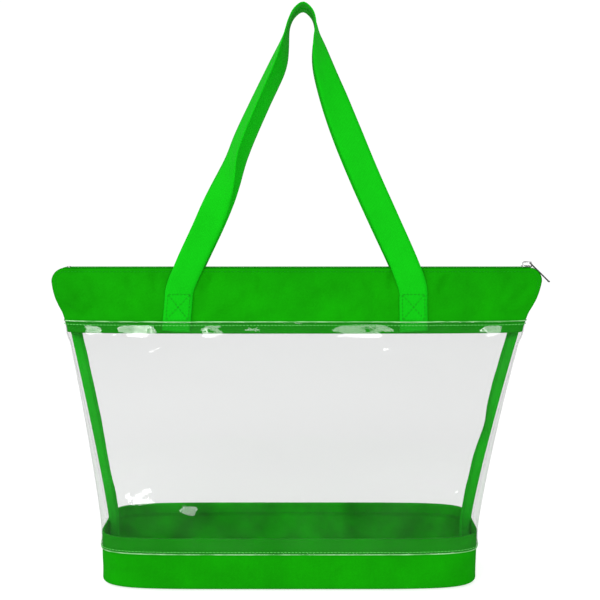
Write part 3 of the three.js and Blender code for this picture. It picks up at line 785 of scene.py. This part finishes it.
def folded_tape(name, spine, widths, thick, material):
    """Folded binding tape: each ring is a flat rounded lens across the width."""
    rings, coords = [], []
    travel = 0.0
    half_count = 7
    for i, (outer, direction, flat) in enumerate(spine):
        if i:
            travel += (outer - spine[i - 1][0]).length
        width = widths[i]
        upper, lower = [], []
        for k in range(half_count):
            share = k / (half_count - 1)
            groove = 1 - 0.2 * math.exp(-(((share - 0.5) / 0.15) ** 2))
            plump = thick / 2 * (1 - 0.45 * (2 * share - 1) ** 4) * groove
            if k in (0, half_count - 1):
                plump *= 0.35
            base = outer + direction * (width * share)
            upper.append((base + flat * plump, (width * share, travel)))
            lower.append((base - flat * plump, (width * share + 0.02, travel)))
        ring = upper + lower[::-1]
        rings.append([p for p, _ in ring])
        coords += [c for _, c in ring]
    return tube_piece(name, rings, material, coords)


def make_side_bindings():
    for side_name, side in (("left", -1), ("right", 1)):
        low, high = binding_box[0].z, binding_box[1].z
        spine, widths, path = [], [], []
        for z in spaced(low, high, 90):
            twist = 0.95 if side > 0 else 0.35
            middle = 0.160 if side > 0 else 0.115
            turn = twist * math.exp(-(((z - middle) / 0.034) ** 2)) + 0.12 * soft_noise(side, z, 0.03, 41)
            turn *= smooth(z, low, low + 0.03) * (1 - smooth(z, high - 0.04, high - 0.01))
            direction = Vector((-side * math.cos(turn), math.sin(turn) * side, 0))
            flat = Vector((math.sin(turn), math.cos(turn), 0))
            outer = Vector((side * (half_width(z) - BINDING_INSET), 0, z))
            spine.append((outer, direction, flat))
            widths.append(0.012 + 0.0006 * soft_noise(side * 3, z, 0.02, 43))
            path.append(outer + direction * 0.0093 - flat * 0.0014)
        tape = folded_tape(f"{side_name}_side_tape", spine, widths, 0.0025, binding)
        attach(tape, "bag_base")
        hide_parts(f"{side_name}_side_binding")
        row = stitches(f"{side_name}_side_tape_stitch", [path], strap_thread)
        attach(row, "bag_base")


def make_box_bindings():
    for side_name, side in (("left", -1), ("right", 1)):
        low, high = box_binding_box
        middle_x = side * (BASE_HALF_WIDTH - BOX_BINDING_INSET)
        spine, widths = [], []
        for y in spaced(low.y, high.y, 30):
            sag = 0.0012 * soft_noise(y, side, 0.02, 47)
            outer = Vector((middle_x, y, low.z + sag))
            spine.append((outer, Vector((0, 0, 1)), Vector((1, 0, 0))))
            widths.append(high.z - low.z)
        tape = folded_tape(f"{side_name}_box_tape", spine, widths, high.x - low.x, binding)
        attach(tape, "bag_base")
        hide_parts(f"{side_name}_box_binding")


# ---------------------------------------------------------------- walls


def over_strap(x):
    """1 where the clear sheet lies over a strap's end, 0 away from it."""
    return 1 - smooth(abs(abs(x) - STRAP_END_X), STRAP_WIDTH / 2 + 0.002, STRAP_WIDTH / 2 + 0.010)


# Where the clear sheet bulges below its upper seam and catches the light: place and half length.
BULGES = ((-0.212, 0.0135), (-0.163, 0.0200), (-0.0856, 0.0095), (0.0685, 0.0240), (0.207, 0.0125))
BULGE = 0.0019
GLINTS = ((-0.078, 0.0150), (-0.033, 0.0050), (0.120, 0.0070), (-0.168, 0.0060))
GLINT = 0.0020
GLINT_Z = 0.0465


def bulge(face, x, z):
    """The clear sheet stands off the band and the base in a few places beside its seams."""
    ragged = 1 + 0.35 * soft_noise(x, z, 0.006, 59)

    def near(places):
        share = sum(math.exp(-(((-face * x - place) / (half * ragged)) ** 4)) for place, half in places)
        return min(share, 1.0)

    if z < STRAIGHT_TOP:
        return GLINT * near(GLINTS) * clamp(1 - abs(z - GLINT_Z) / 0.0048)
    return BULGE * near(BULGES) * clamp((CLEAR_TOP - 0.003 - z) / 0.0135) * smooth(z, 0.222, 0.254)


def clear_out(face, x, z):
    """The clear sheet's outer face: level with the wall below the band, then over the band."""
    over_band = smooth(z, BAND_BOTTOM - 0.014, BAND_BOTTOM - 0.003)
    loose = 0.0008 * (0.5 + 0.5 * soft_noise(x, z, 0.024, 53 + face))
    loose *= 1 - smooth(z, CLEAR_TOP - 0.012, CLEAR_TOP - 0.003)
    lift = lerp(GAP + loose, STRAP_THICK + 2 * GAP, over_strap(x))
    return (CLEAR + lift) * over_band + bulge(face, x, z)


def make_clear_wall(side_name, face):
    columns = 181
    heights = spaced(CLEAR_BOTTOM, STRAIGHT_TOP, 16)[:-1]
    heights += spaced(STRAIGHT_TOP, BAND_BOTTOM - 0.016, 90)[:-1]
    heights += spaced(BAND_BOTTOM - 0.016, CLEAR_TOP, 26)
    outer = wall_grid(face, heights, lambda x, z: clear_out(face, x, z), columns)
    inner = wall_grid(face, heights, lambda x, z: clear_out(face, x, z) - CLEAR, columns)
    wall = sheet_piece(f"{side_name}_clear_wall", outer, inner, vinyl)
    swings_open(wall)
    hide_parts(f"{side_name}_clear_panel")

    # The beads round the sheet's lower and upper edges carry the painted edge highlight.
    for edge_name, row in (("lower", 0), ("upper", -1)):
        path = [(a + b) / 2 for a, b in zip(outer[row], inner[row])]
        rings = []
        for i, centre in enumerate(path):
            along = path[min(i + 1, columns - 1)] - path[max(i - 1, 0)]
            rings.append(ring_round(centre, along.normalized(), 0.00052, 8))
        bead = tube_piece(f"{side_name}_{edge_name}_vinyl_edge_highlight", rings, vinyl_edge_highlight)
        swings_open(bead)

    for row_name, z in (("base", BASE_SEAM_Z), ("band", BAND_SEAM_Z)):
        path = wall_grid(face, [z], lambda x, h: clear_out(face, x, h) + THREAD_RADIUS * 0.5, 260)[0]
        row = stitches(f"{side_name}_{row_name}_seam", [path], seam_thread)
        swings_open(row)
        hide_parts(f"{side_name}_{row_name}_stitch")


def fold_in(z):
    """The band's top edge rolls inward over a small radius."""
    radius = 0.0022
    height = radius - max(TOP - z, 0.0)
    return -(radius - math.sqrt(max(radius**2 - max(height, 0.0) ** 2, 0.0))) * 0.75


def stitched_groove(x, z):
    """The cloth is drawn in a little along the zip's row of stitches."""
    return -0.0005 * math.exp(-(((rim_distance(x, z) - 0.004) / 0.0013) ** 2))


def make_band(side_name, face):
    columns = 221
    heights = spaced(BAND_BOTTOM, TOP - 0.012, 40)[:-1] + spaced(TOP - 0.012, TOP - 0.0024, 11)[:-1]
    heights += [TOP - 0.0024 * (1 - math.sin(turn * math.pi / 2)) for turn in spaced(0, 1, 7)]
    outer = wall_grid(face, heights, lambda x, z: fold_in(z) + stitched_groove(x, z), columns)
    inner = wall_grid(face, heights, lambda x, z: fold_in(z) + stitched_groove(x, z) - FABRIC, columns)
    band = sheet_piece(f"{side_name}_band_cloth", outer, inner, cloth)
    swings_open(band)
    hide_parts(f"{side_name}_top_band")


# ---------------------------------------------------------------- zip

ZIP_Z = TOP - 0.0003
TAPE_THICK = 0.0006
TAPE_OUTER = tape_box[1].y
TAPE_INNER = 0.0027
TAPE_CORNER_INNER = 0.0004
COIL_FROM = coil_box[0].x - LEAN
COIL_TO = coil_box[1].x - LEAN
COIL_Y = (coil_box[0].y + coil_box[1].y) / 2
COIL_HALF_WIDTH = (coil_box[1].y - coil_box[0].y) / 2
COIL_HALF_HEIGHT = (coil_box[1].z - coil_box[0].z) / 2


def mouth_outline():
    """Places over the mouth from left to right: point, outward normal, share of the corner turned."""
    right = []
    for share in spaced(0, 1, 14):
        turn = share * math.pi / 2
        normal = Vector((math.sin(turn), 0, math.cos(turn)))
        right.append((Vector((CORNER_X, 0, CORNER_Z)) + normal * CORNER_RADIUS, normal, share))
    for z in spaced(CORNER_Z, SIDE_SEAM_TOP + 0.003, 14)[1:]:
        right.append((Vector((half_width(z), 0, z)), Vector((1, 0, 0)), 1.0))

    def mirrored(place):
        point, normal, share = place
        return Vector((-point.x, 0, point.z)), Vector((-normal.x, 0, normal.z)), share

    top = [(Vector((x, 0, TOP)), Vector((0, 0, 1)), 0.0) for x in spaced(-CORNER_X, CORNER_X, 160)[1:-1]]
    return [mirrored(place) for place in reversed(right)] + top + right


def make_zip(side_name, face):
    outer, inner = [], []
    for point, normal, share in mouth_outline():
        inside = lerp(TAPE_INNER, TAPE_CORNER_INNER, smooth(share, 0.3, 0.7))
        # Below the zip's end the tape narrows to a point between the bands.
        outside = TAPE_OUTER if share < 1 else min(TAPE_OUTER, edge_depth(point.z))
        outside = max(outside, inside + 0.0006)
        for grid, lift in ((outer, 0.0), (inner, -TAPE_THICK)):
            row = []
            for y in spaced(outside, inside, 6):
                crown = 0.0002 * math.sin(math.pi * (y - inside) / (outside - inside))
                row.append(point + normal * (lift - 0.0001 + crown) + Vector((0, face * y, 0)))
            grid.append(row)
    tape = sheet_piece(f"{side_name}_tape", outer, inner, tape_cloth)
    swings_open(tape)
    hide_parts(f"{side_name}_zip_tape")

    pitch, per_turn, sides = 0.0017, 10, 5
    turns = int((COIL_TO - COIL_FROM) / pitch)
    wire = 0.00034
    path = []
    for i in range(turns * per_turn + 1):
        turn = 2 * math.pi * i / per_turn
        y = COIL_Y + (COIL_HALF_WIDTH - wire) * math.cos(turn)
        z = ZIP_Z + (COIL_HALF_HEIGHT - wire) * math.sin(turn)
        x = COIL_FROM + wire + (COIL_TO - COIL_FROM - 2 * wire) * i / (turns * per_turn)
        path.append(Vector((x, face * y, z)))
    rings = []
    for i, centre in enumerate(path):
        along = (path[min(i + 1, len(path) - 1)] - path[max(i - 1, 0)]).normalized()
        side = along.cross(Vector((1, 0, 0))).normalized()
        up = along.cross(side)
        angles = [2 * math.pi * k / sides for k in range(sides)]
        rings.append([centre + wire * (side * math.cos(a) + up * math.sin(a)) for a in angles])
    coil = tube_piece(f"{side_name}_coil", rings, nylon)
    swings_open(coil)
    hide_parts(f"{side_name}_zip_coil")

    drop = 0.004
    path = []
    for point, normal, share in mouth_outline():
        if point.z < ZIP_END_Z:
            continue
        place = point - normal * drop
        out = stitched_groove(place.x, place.z) + THREAD_RADIUS * 0.4
        path.append(on_wall(face, place.x, place.z, out))
    row = stitches(f"{side_name}_top_seam", [path], strap_thread)
    swings_open(row)
    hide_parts(f"{side_name}_zip_stitch")


# ---------------------------------------------------------------- handles

# Outer edge of a handle, seen from the front: height and half span.
HANDLE_EDGE = (
    (0.327, 0.1280),
    (0.375, 0.1060),
    (0.415, 0.0870),
    (0.455, 0.0690),
    (0.495, 0.0510),
    (0.535, 0.0320),
    (0.560, 0.0200),
    (0.576, 0.0135),
    (0.586, 0.0082),
)
SLANT = 1.08  # a strap's width over its upright width, because the arms slope

# The back handle hangs a little inside the front one. Each arm turns about its own length:
# height and degrees, up to 90 at TWIST_END_Z.
HANDLES = {
    "front": {
        "inside": 0.0,
        "below": STRAP_THICK / 2,
        "left": ((0.327, 0), (0.380, 5), (0.415, 40), (0.440, 66), (0.495, 72), (0.535, 76)),
        "right": ((0.327, 0), (0.455, 5), (0.495, 22), (0.515, 36), (0.535, 48), (0.550, 61)),
    },
    "back": {
        "inside": 0.0012,
        "below": STRAP_THICK / 2,
        "left": ((0.327, 0), (0.395, 15), (0.415, 33), (0.435, 48), (0.535, 56), (0.550, 68)),
        "right": ((0.327, 0), (0.455, 8), (0.495, 26), (0.515, 38), (0.535, 50), (0.550, 63)),
    },
}


def turn_at(pairs, z):
    """Turn of an arm at a height, in radians, rounded a little between its pairs."""
    heights, turns = zip(*pairs, (TWIST_END_Z, 90))
    near = [float(np.interp(z + step, heights, turns)) for step in (-0.008, -0.004, 0.0, 0.004, 0.008)]
    return math.radians(sum(near) / len(near))


def smooth_path(points, per_span):
    """Centripetal Catmull-Rom curve through points."""
    ends = [points[0] * 2 - points[1], *points, points[-1] * 2 - points[-2]]
    path = []
    for p0, p1, p2, p3 in zip(ends, ends[1:], ends[2:], ends[3:]):
        t1 = math.sqrt((p1 - p0).length)
        t2 = t1 + math.sqrt((p2 - p1).length)
        t3 = t2 + math.sqrt((p3 - p2).length)
        for i in range(per_span):
            t = lerp(t1, t2, i / per_span)
            a1 = p0.lerp(p1, t / t1)
            a2 = p1.lerp(p2, (t - t1) / (t2 - t1))
            a3 = p2.lerp(p3, (t - t2) / (t3 - t2))
            b1 = a1.lerp(a2, t / t2)
            b2 = a2.lerp(a3, (t - t1) / (t3 - t1))
            path.append(b1.lerp(b2, (t - t1) / (t2 - t1)))
    path.append(points[-1])
    return path


def strap_middle_x(z):
    """Half span of the sewn-down part of a strap."""
    share = clamp((z - STRAP_END_Z) / (STRAP_HINGE_Z - STRAP_END_Z))
    return lerp(STRAP_END_X, STRAP_HINGE_X, share)


def handle_middle_line(side_name, face):
    """Middle line of a whole strap, from its left end over the peak to its right end."""
    handle = HANDLES[side_name]

    def arm(side, turns):
        route = [(side * strap_middle_x(z), z) for z in spaced(STRAP_END_Z, STRAP_HINGE_Z, 5)]
        for z, edge in HANDLE_EDGE:
            reach = STRAP_WIDTH / 2 * SLANT * math.cos(turn_at(turns, z))
            hang = handle["inside"] * smooth(z, STRAP_HINGE_Z, TOP + 0.04) * (1 - smooth(z, 0.54, 0.58))
            drop = handle["below"] * smooth(z, TWIST_END_Z - 0.04, HANDLE_PEAK)
            route.append((side * (edge - reach - hang), z - drop))
        return route

    route = arm(-1, handle["left"]) + [(0.0, HANDLE_PEAK - handle["below"])] + arm(1, handle["right"])[::-1]

    def depth(x, z):
        over_thread = OVER_THREAD * smooth(z, STRAP_HINGE_Z, TOP - 0.008)
        on_band = plan_depth(x, min(z, TOP)) + GAP + STRAP_THICK / 2 + over_thread
        return lerp(on_band, STRAP_WIDTH / 2 + 0.001, smooth(z, TOP, TWIST_END_Z))

    flat = []
    for x, z in route:
        lean = HANDLE_LEAN * (max(z - STRAP_HINGE_Z, 0) / (HANDLE_PEAK - STRAP_HINGE_Z)) ** 2
        flat.append(Vector((x + lean, 0, z)))
    at, length = path_walker(smooth_path(flat, 12))
    points = [at(length * i / 260) for i in range(261)]
    return [Vector((p.x, face * depth(p.x, p.z), p.z)) for p in points]


def strap_sections(side_name, face):
    """Middle point, direction across and direction out of each section of a strap."""
    points = handle_middle_line(side_name, face)
    sections = []
    for i, middle in enumerate(points):
        tangent = (points[min(i + 1, len(points) - 1)] - points[max(i - 1, 0)]).normalized()
        turns = HANDLES[side_name]["left" if i < len(points) // 2 else "right"]
        twist = turn_at(turns, middle.z)
        outward = Vector((-tangent.z, 0, tangent.x)).normalized()
        normal = Vector((0, face * math.cos(twist), 0)) + outward * math.sin(twist)
        across = normal.cross(tangent).normalized()
        normal = tangent.cross(across).normalized()
        if middle.z < TOP:
            edges = [middle + across * e * STRAP_WIDTH / 2 for e in (-1, 1)]
            depths = [plan_depth(e.x, min(middle.z, TOP)) for e in edges]
            tilt = face * (depths[1] - depths[0]) / STRAP_WIDTH * (1 - smooth(middle.z, STRAP_HINGE_Z, TOP))
            across = (across + Vector((0, tilt, 0))).normalized()
            normal = tangent.cross(across).normalized()
            if normal.y * face < 0:
                normal.negate()
        sections.append((middle, across, normal))
    return sections


def make_handle(side_name, face):
    sections = strap_sections(side_name, face)
    profile = 9
    rings, coords = [], []
    travel = 0.0
    for i, (middle, across, normal) in enumerate(sections):
        if i:
            travel += (middle - sections[i - 1][0]).length
        upper, lower = [], []
        for k in range(profile):
            share = 2 * k / (profile - 1) - 1
            edge = 1.0 if abs(share) < 0.99 else 0.4
            cup = 0.0007 * (share * share - 0.4) * smooth(middle.z, TOP, TOP + 0.06)
            place = middle + across * (share * STRAP_WIDTH / 2) + normal * cup
            upper.append(place + normal * (STRAP_THICK / 2 * edge))
            lower.append(place - normal * (STRAP_THICK / 2 * edge))
            coords.append((share * STRAP_WIDTH / 2, travel))
        for k in range(profile):
            share = 1 - 2 * k / (profile - 1)
            coords.append((share * STRAP_WIDTH / 2, travel))
        rings.append(upper + lower[::-1])
    strap = tube_piece(f"{side_name}_strap", rings, webbing, coords)
    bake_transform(strap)
    ends = [f"{side_name}_handle_end_{end}" for end in ("left", "right")]
    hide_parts(f"{side_name}_handle_loop", *ends)

    width, bottom, top = BOX_SEAM_WIDTH, BOX_SEAM_BOTTOM, BOX_SEAM_TOP
    for end_name, end in (("left", -1), ("right", 1)):
        corners = []
        for x, z in ((-1, bottom), (1, bottom), (1, top), (-1, top)):
            place_x = end * strap_middle_x(z) + x * width / 2
            y = plan_depth(place_x, z) + GAP + STRAP_THICK + THREAD_RADIUS * 0.35
            corners.append(Vector((place_x, face * y, z)))
        a, b, c, d = corners
        cross = stitches(
            f"{side_name}_{end_name}_box_seam",
            [[a, b], [b, c], [c, d], [d, a], [a, c], [b, d]],
            strap_thread,
            radius=0.00032,
        )
        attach(cross, f"{side_name}_side")
        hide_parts(f"{side_name}_box_stitch_{end_name}")


# ---------------------------------------------------------------- metal trim


def make_metal_trim():
    """Bevelled copies of the small metal parts."""
    trim = {
        "slider_body": ("zip_slider", "zip_slider", 0.00022),
        "tab_plate": ("zip_pull_tab", "pull_tab", 0.00018),
        "lower_stop": ("zip_bottom_stop", "bag_base", 0.0003),
        "front_upper_stop": ("front_top_stop", "front_side", 0.0003),
        "back_upper_stop": ("back_top_stop", "back_side", 0.0003),
    }
    for name, (node, body, rounding) in trim.items():
        piece = bpy.data.objects.new(name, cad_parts[node].data.copy())
        bpy.context.scene.collection.objects.link(piece)
        piece.data.materials.clear()
        piece.data.materials.append(nickel)
        weld = piece.modifiers.new("weld", "WELD")
        weld.merge_threshold = 1e-6
        bevel = piece.modifiers.new("rounding", "BEVEL")
        bevel.width = rounding
        bevel.segments = 3
        bevel.limit_method = "ANGLE"
        bevel.angle_limit = math.radians(35)
        bevel.harden_normals = True
        for polygon in piece.data.polygons:
            polygon.use_smooth = True
        if node.endswith("top_stop"):
            swings_open(piece)
        else:
            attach(piece, body)
        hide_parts(node)


# ---------------------------------------------------------------- stage, light and camera


def make_stage():
    material, output = new_material("pale_floor")
    place = add(material, "TexCoord")
    cloudy = clouds(material, place, 3.0)
    tone = ramp(material, cloudy, [(0.3, grey(0.49)), (0.7, grey(0.51))])
    shader = add(material, "BsdfDiffuse", {"Color": tone})
    glow = add(material, "Emission", {"Color": (1, 1, 1, 1), "Strength": 0.68})
    both = add(material, "AddShader", {0: shader.outputs["BSDF"], 1: glow.outputs["Emission"]})
    surface(material, output, both.outputs["Shader"])
    reach = 4.0
    corners = [(-reach, -reach, 0), (reach, -reach, 0), (reach, reach, 0), (-reach, reach, 0)]
    points = [Vector(c) - Vector((0, 0, 0.0002)) for c in corners]
    floor = new_piece("floor", points, [(0, 1, 2, 3)], material)
    floor.visible_glossy = False


def softbox(name, azimuth, elevation, distance, size, radiance):
    """Rectangular light that faces the bag's middle; azimuth 0 is in front and 90 to the right."""
    light = bpy.data.lights.new(name, "AREA")
    light.shape = "RECTANGLE"
    light.size, light.size_y = size
    light.energy = radiance * math.pi * size[0] * size[1]
    lamp = bpy.data.objects.new(name, light)
    a, e = math.radians(azimuth), math.radians(elevation)
    aim = Vector((0, 0, 0.25))
    back = Vector((math.sin(a) * math.cos(e), -math.cos(a) * math.cos(e), math.sin(e)))
    lamp.location = aim + back * distance
    lamp.rotation_euler = back.to_track_quat("Z", "Y").to_euler()
    bpy.context.scene.collection.objects.link(lamp)


def make_light():
    world = bpy.data.worlds.new("studio")
    world.use_nodes = True
    background = world.node_tree.nodes["Background"]
    background.inputs["Color"].default_value = (1, 1, 1, 1)
    # The white surroundings show at full strength, but light the bag and mirror in it less.
    rays = world.node_tree.nodes.new("ShaderNodeLightPath")
    strength = 1.04
    for ray, less in (("Is Glossy Ray", 0.90), ("Is Diffuse Ray", 0.36)):
        dim = world.node_tree.nodes.new("ShaderNodeMath")
        dim.operation = "MULTIPLY_ADD"
        dim.inputs[1].default_value = -less
        world.node_tree.links.new(rays.outputs[ray], dim.inputs[0])
        if isinstance(strength, float):
            dim.inputs[2].default_value = strength
        else:
            world.node_tree.links.new(strength, dim.inputs[2])
        strength = dim.outputs["Value"]
    world.node_tree.links.new(strength, background.inputs["Strength"])
    bpy.context.scene.world = world
    softbox("key_left", -27, 28, 2.2, (0.80, 0.44), 9.0)
    softbox("key_right", 27, 28, 2.2, (0.80, 0.44), 7.0)
    softbox("front", 0, 28, 2.4, (1.40, 0.42), 6.0)
    softbox("side", -78, 40, 2.0, (0.80, 0.80), 7.0)
    softbox("back", 180, 24, 2.4, (0.90, 0.30), 5.0)


def make_camera():
    camera = bpy.data.cameras.new("camera")
    camera.lens = 60.6
    camera.sensor_width = 36.0
    lamp = bpy.data.objects.new("camera", camera)
    lamp.location = (LEAN + 0.0029, -1.05, 0.413)
    aim = Vector((LEAN + 0.0029, 0, 0.2925))
    lamp.rotation_euler = (lamp.location - aim).to_track_quat("Z", "Y").to_euler()
    bpy.context.scene.collection.objects.link(lamp)
    bpy.context.scene.camera = lamp
    bpy.context.scene.view_settings.view_transform = "Standard"


# ---------------------------------------------------------------- the bag

make_camera()
make_light()
make_stage()
make_base()
make_side_bindings()
make_box_bindings()
for side_name, face in SIDES:
    make_clear_wall(side_name, face)
    make_band(side_name, face)
    make_zip(side_name, face)
    make_handle(side_name, face)
make_metal_trim()

bpy.context.view_layer.update()
